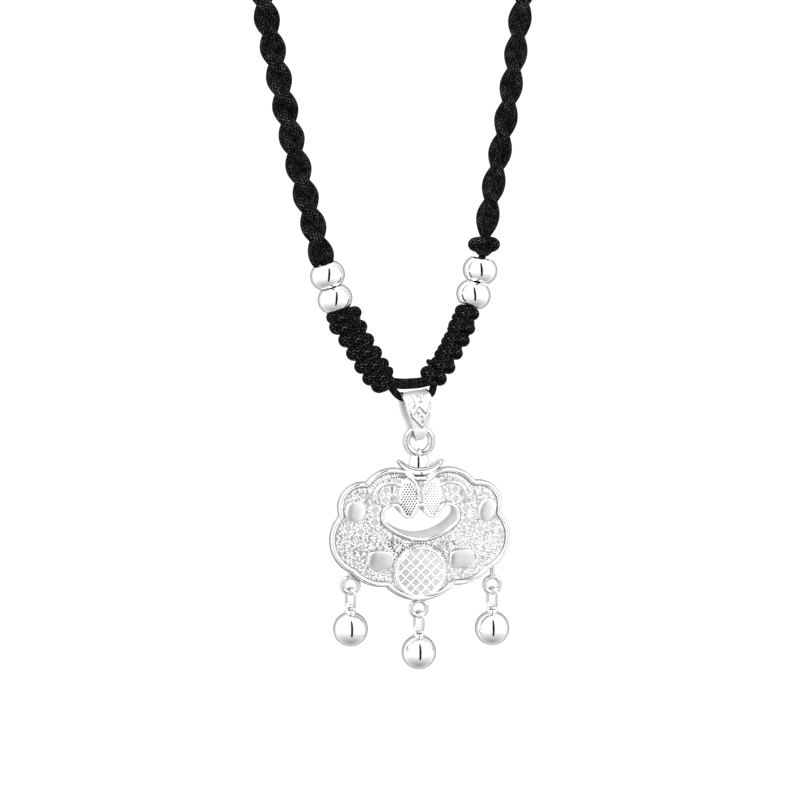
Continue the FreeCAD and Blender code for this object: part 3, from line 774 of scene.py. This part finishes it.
bm = bmesh.new()
rings = [loop_at(bm, inset(outline, distance), y) for distance, y in OUTER_WALLS]
hole_back = loop_at(bm, [point + TUNNEL_SLOPE for point in opening], OUTER_WALLS[-1][1])
for near, far in zip(rings, rings[1:]):
    bmesh.ops.bridge_loops(bm, edges=near + far)
bmesh.ops.triangle_fill(bm, use_beauty=True, use_dissolve=False, edges=rings[-1] + hole_back)
bmesh.ops.recalc_face_normals(bm, faces=bm.faces)
make_piece("lock_shells", bm, "lock", SATIN, smooth=False, replaces=["lock"])

# The crescent's inner wall, grey with painted shade.
bm = bmesh.new()
mouth = loop_at(bm, opening, FIELD_Y - 0.1)
throat = loop_at(bm, [point + TUNNEL_SLOPE for point in opening], OUTER_WALLS[-1][1])
bmesh.ops.bridge_loops(bm, edges=mouth + throat)
bmesh.ops.recalc_face_normals(bm, faces=bm.faces)
make_piece("crescent_wall", bm, "lock", SAWN_WALL_SHADE)

# Rims: round silver wire, soldered along the outline, the crescent and each curl.
# Thin dark wires of painted shade lie inside the outline's wire, beside the crescent's wire,
# along the plate's outer edge and in two arcs on the collar.

bm = bmesh.new()


def add_wire(bm, points, y, radius, closed=False, sides=4):
    add_strand(bm, [on_lock(point, y) for point in points], radius, sides=sides, closed=closed)


add_wire(bm, inset(outline, 0.33), -1.28, 0.33, closed=True, sides=5)
add_wire(bm, inset(opening, 0.24), -1.3, 0.27, closed=True, sides=5)


def mapped(points, side):
    return [Vector((side * x, z)) for x, z in points]


CURL_RIM = ((3.0, 3.3), (2.62, 2.3), (1.75, 1.9), (0.85, 2.6), (0.35, 4.2), (0.4, 6.2), (1.15, 7.7),
            (2.5, 8.5))
for side in (-1, 1):
    rim = smooth_line([on_lock(point, -1.45) for point in mapped(CURL_RIM, side)])
    add_strand(bm, rim[::3], 0.2, sides=4)
make_piece("lock_rims", bm, "lock", SILVER)

# Painted shade: thin dark wires beside the rims, on the plate's outer edge and on the collar.
bm = bmesh.new()
add_wire(bm, inset(outline, 0.72), FIELD_Y + 0.02, 0.08, closed=True, sides=2)
add_wire(bm, inset(outline, 0.02), -0.8, 0.15, closed=True, sides=2)
add_wire(bm, inset(opening, 0.56), FIELD_Y + 0.02, 0.09, closed=True, sides=2)
for arc, radius in ((((-3.05, 10.25), (0, 8.95), (3.05, 10.25)), 0.08),
                    (((-1.5, 8.32), (0, 8.1), (1.5, 8.32)), 0.12)):
    add_wire(bm, arc_points(arc, 24), -1.3, radius, sides=2)
make_piece("lock_shade_lines", bm, "lock", GREY_SHADE_PAINT)

# Curls: two raised cloud scrolls that hang from the top of the lock, one each side of the middle.
# Their swollen ends are covered in rows of punched dots, whose shade is painted as dark grains,
# black on the left curl and grey on the right, and the tails run round below the rim.

FROSTED = matted_silver("frosted_silver", 0.8, 0.92, 0.4)


def add_pillow(bm, points, centre, base_y, height, steps=6):
    """A raised pad over a closed outline, swelling towards its middle."""
    middle = Vector(centre)
    rows = []
    for step in range(steps):
        rise = step / steps
        shrink = math.cos(rise * math.pi / 2) ** 0.6
        ring = [middle + (Vector(point) - middle) * shrink for point in points]
        rows.append(loop_at(bm, ring, base_y - height * math.sin(rise * math.pi / 2)))
    for near, far in zip(rows, rows[1:]):
        bmesh.ops.bridge_loops(bm, edges=near + far)
    bmesh.ops.triangle_fill(bm, use_beauty=True, use_dissolve=False, edges=rows[-1])


CURL_CENTRE, CURL_HALF_WIDTH, CURL_HALF_HEIGHT, CURL_LEAN = (1.8, 4.85), 1.38, 2.85, -7
CURL_RISE = 0.32
curl_end = []
for step in range(48):
    angle = 2 * math.pi * step / 48
    spot = Vector((CURL_HALF_WIDTH * math.cos(angle), CURL_HALF_HEIGHT * math.sin(angle)))
    curl_end.append(Vector(CURL_CENTRE) + Matrix.Rotation(math.radians(CURL_LEAN), 2) @ spot)
bm = bmesh.new()
for side in (-1, 1):
    pad = [Vector((side * point.x, point.y)) for point in curl_end]
    add_pillow(bm, pad, (side * CURL_CENTRE[0], CURL_CENTRE[1]), FIELD_Y, CURL_RISE)
bmesh.ops.recalc_face_normals(bm, faces=bm.faces)
make_piece("curl_ends", bm, "lock", FROSTED)

GRAIN = random.Random(7)


def add_grain(bm, point, y, radius, stretch=1.0, turn=0.0):
    """A tiny ball or rice grain on the field."""
    spin = Matrix.Rotation(turn, 4, "Y")
    shape = Matrix.Diagonal((stretch, 0.8, 1.0, 1))
    bmesh.ops.create_icosphere(bm, subdivisions=1, radius=radius,
                               matrix=Matrix.Translation(on_lock(point, y)) @ spin @ shape)


def curl_height(x, z):
    """The y of a curl end's surface at a point of the right-hand curl."""
    across = ((x - 1.75) / 1.4) ** 2 + ((z - 4.8) / 3.1) ** 2
    return FIELD_Y - CURL_RISE * max(0.0, 1 - across ** 2) ** 0.5


DOT_ACROSS, DOT_DOWN = 0.42, 0.36
DOT_STRETCH, DOT_TURN = 1.7, math.radians(-50)
dots = bmesh.new()
grey_dot_shade = bmesh.new()
# Painted shade: the left curl's dots take the black shade paint and the right curl's the grey one.
for side, bold, pits in ((-1, 0.17, dots), (1, 0.14, grey_dot_shade)):
    for row in range(16):
        for column in range(6):
            x = 0.55 + column * DOT_ACROSS + (DOT_ACROSS / 2 if row % 2 else 0.0)
            z = 2.2 + row * DOT_DOWN
            edge = ((x - 1.82 - 0.1 * (z - 4.8)) / 1.33) ** 2 + ((z - 4.6) / 2.55) ** 2
            if edge < 1:
                add_grain(pits, (side * x, z), curl_height(x, z) + bold * 0.4, bold * 0.85,
                          DOT_STRETCH, DOT_TURN)

# Punched dots: small round pits struck into the lock with a punch; their shade is painted as dark
# grains, black on the left and over the medallion, grey on the right. They stand in an arc over the
# medallion, in a ring of nine under each end of the crescent with a scatter beside it, and in a row
# along the top.
# Two short dark wires of painted shade lie under the collar.

# Black painted shade, for the left-hand dots, the arc over the medallion and the wires under the
# collar.
BLACK_SHADE_PAINT = shade_paint_silver("black_shade_paint", 0.02, 0.12)
for step in range(23):
    angle = math.radians(28 + step * 5.64)
    spot = (4.3 * math.cos(angle), -6.2 + 4.3 * math.sin(angle))
    add_grain(dots, spot, FIELD_Y - 0.03, 0.13)
for side in (-1, 1):
    pits = dots if side < 0 else grey_dot_shade
    for step in range(9):
        angle = 2 * math.pi * step / 9
        spot = (side * (3.4 + 0.75 * math.cos(angle)), -2.45 + 0.75 * math.sin(angle))
        add_grain(pits, spot, FIELD_Y - 0.03, 0.14)
    for step in range(9):
        spot = (side * (4.75 + GRAIN.uniform(-0.7, 0.7)), -1.75 + GRAIN.uniform(-0.6, 0.6))
        add_grain(pits, spot, FIELD_Y - 0.05, GRAIN.uniform(0.1, 0.15))
    for step in range(8):
        add_grain(pits, (side * (2.2 + step * 0.3), 7.98), FIELD_Y - 0.05, 0.13)
across = [Vector((-0.9, 8.2)), Vector((-0.2, 8.1)), Vector((0.45, 8.14))]
add_wire(dots, across, -1.42, 0.1, sides=2)
add_wire(dots, [Vector((0.12, 8.15)), Vector((0.12, 8.7))], -1.42, 0.07, sides=2)
make_piece("punched_dots", dots, "lock", BLACK_SHADE_PAINT)
make_piece("grey_dot_shade", grey_dot_shade, "lock", GREY_SHADE_PAINT)

# Field ornament: ribs fanned below the rim, round cups with a raised lip, and cast grains
# between them. They are part of the stamping and stand a few tenths of a millimetre above it.

MATT_AND_CUP_SHADE = matted_silver("matted_silver", 0.6, 0.88)
# place and radius
CUPS = ((3.45, 5.7, 0.5), (5.2, 5.95, 0.5), (5.3, 4.55, 0.52), (6.85, 3.15, 0.58), (6.9, 1.3, 0.56),
        (9.0, 0.0, 0.5), (10.9, 0.5, 0.5))
# place, half width, half height, turn in degrees, squareness of the outline, slope of the top
BOSSES = (
    (-9.84, 3.0, 1.5, 1.5, 10, 0.8, 0.05), (9.98, 2.85, 1.3, 1.75, 18, 0.9, 0.1),
    (-6.1, -4.25, 1.9, 1.4, 4, 0.6, 0.28), (6.2, -4.3, 1.9, 1.4, -4, 0.65, 0.28),
)
MEDAL = (0.0, -6.2, 3.85)
FAN_CENTRE, FAN_RADIUS, GROOVE_RADIUS = (4.5, 4.6), 3.35, 2.5
GRAIN_TRIES, GRAIN_GAP = 9000, 0.36
ornament = bmesh.new()
# Painted shade: the cup floors and the fan's groove are grey matt silver where shade falls in them.
floors = bmesh.new()
for side in (-1, 1):
    for x, z, radius in CUPS:
        place = on_lock((side * x, z), FIELD_Y)
        add_ring(ornament, place, radius + 0.1, 0.13, points=20)
        proud = Matrix.Translation(place + Vector((0, -0.02, 0)))
        bmesh.ops.create_circle(floors, cap_ends=True, segments=20, radius=radius,
                                matrix=proud @ Matrix.Rotation(math.pi / 2, 4, "X"))
    for step in range(22):
        angle = math.radians(22 + step * 6.6)
        centre = (side * (FAN_CENTRE[0] + FAN_RADIUS * math.cos(angle)),
                  FAN_CENTRE[1] + FAN_RADIUS * math.sin(angle))
        if centre[1] < 8.2 and side * centre[0] > 2.7:
            add_grain(ornament, centre, FIELD_Y, 0.16, 2.6, -angle if side > 0 else angle)
    groove = []
    for step in range(15):
        angle = math.radians(5 + step * 9)
        groove.append((side * (FAN_CENTRE[0] + GROOVE_RADIUS * math.cos(angle)),
                       FAN_CENTRE[1] + GROOVE_RADIUS * math.sin(angle)))
    add_wire(floors, groove, FIELD_Y + 0.05, 0.28, sides=2)


def crossings(points, x, z):
    """True inside a closed outline."""
    inside = False
    for a, b in zip(points, points[1:] + points[:1]):
        if (a.y > z) != (b.y > z) and x < a.x + (z - a.y) / (b.y - a.y) * (b.x - a.x):
            inside = not inside
    return inside


field_edge = inset(outline, 0.95)
hole_edge = inset(opening, 0.75)
grains = []
for attempt in range(GRAIN_TRIES):
    x, z = GRAIN.uniform(-13, 13), GRAIN.uniform(-10, 9)
    if not crossings(field_edge, x, z) or crossings(hole_edge, x, z):
        continue
    if abs(x) < 3.2 and z > 1.5:
        continue
    if math.hypot(x - MEDAL[0], z - MEDAL[1]) < MEDAL[2] + 0.75:
        continue
    if math.hypot(abs(x) - 3.4, z + 2.45) < 1.0:
        continue
    if math.hypot(abs(x) - FAN_CENTRE[0], z - FAN_CENTRE[1]) < 4.0 and z > 4.0:
        continue
    if any(math.hypot(abs(x) - cx, z - cz) < radius + 0.32 for cx, cz, radius in CUPS):
        continue
    if any(math.hypot((x - bx) / (w + 0.2), (z - bz) / (h + 0.2)) < 1.1
           for bx, bz, w, h, turn, square, slope in BOSSES):
        continue
    if any((x - gx) ** 2 + (z - gz) ** 2 < GRAIN_GAP ** 2 for gx, gz in grains):
        continue
    grains.append((x, z))
    add_grain(ornament, (x, z), FIELD_Y + 0.02, GRAIN.uniform(0.11, 0.17), GRAIN.uniform(1.0, 1.8),
              GRAIN.uniform(0, math.pi))
make_piece("field_ornament", ornament, "lock", SILVER)
make_piece("cup_floors", floors, "lock", MATT_AND_CUP_SHADE)

# Bosses: four smooth cushions, two beside the crescent and two above the lower edge.
# They are stamped with the front shell and brushed bright between the grained parts.

bm = bmesh.new()
for x, z, half_width, half_height, turn, square, slope in BOSSES:
    fresh = bmesh.new()
    rings = []
    for reach, rise in ((1.0, 0.15), (1.0, -0.36), (0.985, -0.48), (0.95, -0.56), (0.86, -0.61),
                        (0.5, -0.65), (0.2, -0.66)):
        verts = []
        for step in range(48):
            angle = 2 * math.pi * step / 48
            cosine, sine = math.cos(angle), math.sin(angle)
            round_x = math.copysign(abs(cosine) ** square, cosine) * half_width * reach
            round_z = math.copysign(abs(sine) ** square, sine) * half_height * reach
            verts.append(fresh.verts.new((round_x, rise - slope * round_z, round_z)))
        rings.append([fresh.edges.new(pair) for pair in zip(verts, verts[1:] + verts[:1])])
    for near, far in zip(rings, rings[1:]):
        bmesh.ops.bridge_loops(fresh, edges=near + far)
    bmesh.ops.contextual_create(fresh, geom=rings[-1])
    bmesh.ops.recalc_face_normals(fresh, faces=fresh.faces)
    spin = Matrix.Rotation(math.radians(turn), 4, "Y")
    add_part(bm, fresh, Matrix.Translation(on_lock((x, z), FIELD_Y + 0.05)) @ spin)
make_piece("bosses", bm, "lock", SATIN)

# Medallion: a coin-shaped disc of sheet silver, low on the lock and soldered to the field.
# It has a border of round wire and a plain window lattice of thin wire.

MEDAL_BORDER, BORDER_WIRE = 3.62, 0.25
LATTICE_PITCH, LATTICE_REACH, LATTICE_WIRE = 1.08, 3.5, 0.08
bm = bmesh.new()
medal_place = on_lock(MEDAL[:2], FIELD_Y)
face_on = Matrix.Translation(medal_place) @ Matrix.Rotation(math.pi / 2, 4, "X")
add_lathe(bm, ((0.001, 0.18), (3.4, 0.14), (3.7, 0.1), (3.85, -0.05), (3.85, -0.3)), face_on)
make_piece("medal_disc", bm, "lock", MATT_AND_CUP_SHADE)
bm = bmesh.new()
add_ring(bm, medal_place + Vector((0, -0.1, 0)), MEDAL_BORDER, BORDER_WIRE, points=72)
for number in range(-3, 4):
    for direction in (-1, 1):
        offset = number * LATTICE_PITCH
        half = math.sqrt(LATTICE_REACH ** 2 - offset ** 2)
        slant = Vector((1, direction)).normalized()
        middle = Vector(MEDAL[:2]) + Vector((-slant.y, slant.x)) * offset
        add_wire(bm, [middle - slant * half, middle + slant * half], FIELD_Y - 0.15, LATTICE_WIRE,
                 sides=3)
make_piece("medal_lattice", bm, "lock", SILVER)

# Collar and eye: a crescent bar across the lock's top, and on it a bell-shaped post.
# Both are solid silver, soldered on. The bar is frosted, with a thin dark wire of painted shade
# round its front edge; the post is polished and holds the ring by a thin band over the ring's wire.

COLLAR = (
    ((-3.35, 10.15), (0, 8.15), (3.35, 10.15)), ((3.35, 10.15), (3.3, 10.45), (3.0, 10.4)),
    ((3.0, 10.4), (0, 9.25), (-3.0, 10.4)), ((-3.0, 10.4), (-3.3, 10.45), (-3.35, 10.15)),
)
bm = bmesh.new()
collar = outline_of(COLLAR, 16)
edges = [loop_at(bm, collar, y) for y in (-1.25, 1.1)]
bmesh.ops.bridge_loops(bm, edges=edges[0] + edges[1])
for edge_loop in edges:
    bmesh.ops.triangle_fill(bm, use_beauty=True, use_dissolve=False, edges=edge_loop)
bmesh.ops.recalc_face_normals(bm, faces=bm.faces)
sharp = [edge for edge in bm.edges if edge.calc_face_angle(0) > 1.2]
bmesh.ops.bevel(bm, geom=sharp, offset=0.2, offset_type="OFFSET", affect="EDGES", segments=3,
                profile=0.5, material=-1)
make_piece("collar", bm, "lock", FROSTED)
# Painted shade: a thin dark wire round the collar's front edge.
bm = bmesh.new()
add_wire(bm, collar, -1.2, 0.08, closed=True, sides=2)
make_piece("collar_shade_line", bm, "lock", GREY_SHADE_PAINT)
bm = bmesh.new()
add_lathe(bm, ((0.001, 8.2), (1.7, 8.2), (1.62, 9.3), (1.52, 10.1), (1.38, 10.85), (1.28, 11.02),
               (1.18, 11.07), (1.08, 11.0), (0.95, 10.52), (0.001, 10.5)),
          Matrix.Translation(lock_centre) @ Matrix.Diagonal((1, 0.66, 1, 1)), 72)
post_piece = make_piece("eye_post", bm, "lock", SILVER)
post_piece.data.set_sharp_from_angle(angle=math.radians(40))
wire_place = ring_centre - UP * RING_MEAN_RADIUS
BAND_RADIUS, BAND_WIRE = 0.77, 0.13
band = []
for step in range(15):
    angle = math.radians(-15 + step * 15)
    band.append(wire_place + Vector((0, math.cos(angle), math.sin(angle))) * BAND_RADIUS)
bm = bmesh.new()
add_strand(bm, band, BAND_WIRE, sides=4)
make_piece("eye_band", bm, "lock", SILVER)

# Edge rings: three small rings of round silver wire for the drops.
# Each stands on a short wire neck that is soldered to the lock's lower edge.

# name, place of the ring's middle, height of the top of its neck
LOOPS = (("left", -10.3, -7.95, -5.6), ("centre", 0.0, -11.7, -9.9), ("right", 11.15, -8.45, -5.0))
LOOP_RADIUS_SMALL, LOOP_WIRE = 1.18, 0.36
bm = bmesh.new()
for name, x, z, neck_top in LOOPS:
    add_ring(bm, on_lock((x, z), 0), LOOP_RADIUS_SMALL, LOOP_WIRE, points=40)
    foot = on_lock((x, z + LOOP_RADIUS_SMALL), 0)
    add_strand(bm, [foot, on_lock((x, neck_top), 0)], LOOP_WIRE, sides=4)
make_piece("edge_rings", bm, "lock", WIRE)

# Drops: an oval link of thin wire in each edge ring, and on it a hollow silver ball.
# Each ball is spun up from sheet and polished, with a cap and a wire eye soldered on its top.

LINK_HEIGHT, LINK_WIDTH, LINK_WIRE, PIECE_GAP = 3.54, 2.4, 0.25, 0.1
BALL_RADIUS, BALL_BELOW_RING, BALL_LOOP, BALL_WIRE = 2.57, 6.5, 0.62, 0.2
link_half = LINK_HEIGHT / 2 - LINK_WIRE
link_bow = LINK_WIDTH / 2 - LINK_WIRE
for name, x, z, neck_top in LOOPS:
    link_top = z - LOOP_RADIUS_SMALL + LOOP_WIRE + LINK_WIRE + PIECE_GAP
    centre = on_lock((x, link_top - link_half), 0)
    turn = Matrix.Rotation(math.radians(30), 3, "Z")
    loop = []
    for step in range(40):
        angle = 2 * math.pi * step / 40
        lift = math.copysign(link_half - link_bow, math.sin(angle))
        spot = Vector((0, link_bow * math.cos(angle), link_bow * math.sin(angle) + lift))
        loop.append(centre + turn @ spot)
    bm = bmesh.new()
    add_strand(bm, loop, LINK_WIRE, sides=5, closed=True)
    make_piece("link_" + name, bm, "lock", WIRE, replaces=["drop_link_" + name])

    ball_z = z - BALL_BELOW_RING
    link_low = link_top - 2 * link_half
    loop_z = link_low + BALL_WIRE + LINK_WIRE + PIECE_GAP - BALL_LOOP
    profile = []
    for step in range(49):
        latitude = math.radians(-90 + step * 172 / 48)
        across = max(0.001, BALL_RADIUS * math.cos(latitude))
        profile.append((across, BALL_RADIUS * math.sin(latitude)))
    profile += [(0.8, 2.47), (0.86, 2.55), (0.84, 2.66), (0.7, 2.71), (0.001, 2.72)]
    profile = [spot for spot in profile if spot[1] < 2.44 or spot[0] < 0.87]
    bm = bmesh.new()
    add_lathe(bm, profile, Matrix.Translation(on_lock((x, ball_z), 0)), 72)
    add_ring(bm, on_lock((x, loop_z), 0), BALL_LOOP, BALL_WIRE, points=28)
    make_piece("ball_" + name, bm, "lock", SILVER, replaces=["drop_ball_" + name])

# Studio: a pale floor well below the hanging piece and soft light from all sides. Three cards are
# seen only by the polished silver: a narrow dark one in front, a grey one below and one behind.


def card(name, middle, edge, size, matrix, seen_by):
    """A flat card whose grey fades from its middle to its edge."""
    bm = bmesh.new()
    bmesh.ops.create_grid(bm, x_segments=1, y_segments=1, size=0.5,
                          matrix=matrix @ Matrix.Diagonal((*size, 1, 1)))
    mesh = bpy.data.meshes.new(name)
    bm.to_mesh(mesh)
    bm.free()
    finish = Finish(name, {"Roughness": 0.9, "Specular IOR Level": 0.0})
    place = finish.node("ShaderNodeTexCoord", {}, {}, 3)
    centre = tuple(matrix.translation)
    place = finish.node("ShaderNodeVectorMath", {"operation": "SUBTRACT"}, {0: place, 1: centre})
    place = finish.node("ShaderNodeVectorMath", {"operation": "SCALE"}, {0: place, 3: 2 / size[0]})
    near = finish.node("ShaderNodeTexGradient", {"gradient_type": "SPHERICAL"}, {0: place})
    finish.feed("Base Color", finish.between(near, (edge,) * 3, (middle,) * 3))
    mesh.materials.append(finish.material)
    flat = bpy.data.objects.new(name, mesh)
    bpy.context.collection.objects.link(flat)
    for way_seen in ("camera", "diffuse", "glossy", "shadow"):
        setattr(flat, "visible_" + way_seen, way_seen in seen_by)


CAMERA_AZIMUTH = math.radians(-12)
CAMERA_ELEVATION = math.radians(4)
CAMERA_DISTANCE = 0.42
FRAME_WIDTH = 0.1176
LOOK_AT = Vector((1.05, 0, fork_z - 2.3)) * MM
back_way = Vector((
    math.sin(CAMERA_AZIMUTH) * math.cos(CAMERA_ELEVATION),
    -math.cos(CAMERA_AZIMUTH) * math.cos(CAMERA_ELEVATION),
    math.sin(CAMERA_ELEVATION),
))
floor_z = cad_box[0].z - 0.55
card("floor", 0.93, 0.93, (6, 6), Matrix.Translation((0, 0, floor_z)), ("camera", "diffuse"))
card("grey_below", 0.25, 1.0, (3.2, 3.2), Matrix.Translation((0, 0, floor_z + 0.01)), ("glossy",))
upright = Matrix.Rotation(math.pi / 2, 4, "X")
facing = Matrix.Rotation(CAMERA_AZIMUTH, 4, "Z") @ upright
level = Vector((back_way.x, back_way.y, 0)).normalized()
slit_way = Matrix.Rotation(math.radians(-1), 4, "Z")
slit_place = Matrix.Translation(LOOK_AT) @ slit_way @ Matrix.Translation((0, -0.5, 0)) @ upright
card("dark_slit", 0.0, 0.0, (0.13, 1.7), slit_place, ("glossy",))
card("grey_behind", 0.12, 0.97, (2.2, 2.2), Matrix.Translation(LOOK_AT - level * 0.3) @ facing,
     ("glossy",))

world = bpy.data.worlds.new("studio")
world.use_nodes = True
world.node_tree.nodes["Background"].inputs["Color"].default_value = (1, 1, 1, 1)
world.node_tree.nodes["Background"].inputs["Strength"].default_value = 1.12
bpy.context.scene.world = world


def soft_light(name, place, size, watts):
    data = bpy.data.lights.new(name, "AREA")
    data.size = size
    data.energy = watts
    lamp = bpy.data.objects.new(name, data)
    lamp.location = place
    lamp.rotation_mode = "QUATERNION"
    lamp.rotation_quaternion = (LOOK_AT - Vector(place)).to_track_quat("-Z", "Y")
    bpy.context.collection.objects.link(lamp)


soft_light("key", (-0.5, -0.6, 0.35), 0.5, 6)
soft_light("fill", (0.7, -0.5, 0.1), 0.5, 3)

view = bpy.context.scene.view_settings
view.view_transform = "Standard"
lens = bpy.data.cameras.new("camera")
lens.sensor_width = 36
lens.lens = 36 * CAMERA_DISTANCE / FRAME_WIDTH
lens.clip_start = 0.01
camera = bpy.data.objects.new("camera", lens)
camera.location = LOOK_AT + back_way * CAMERA_DISTANCE
camera.rotation_mode = "QUATERNION"
camera.rotation_quaternion = (-back_way).to_track_quat("-Z", "Y")
bpy.context.collection.objects.link(camera)
bpy.context.scene.camera = camera
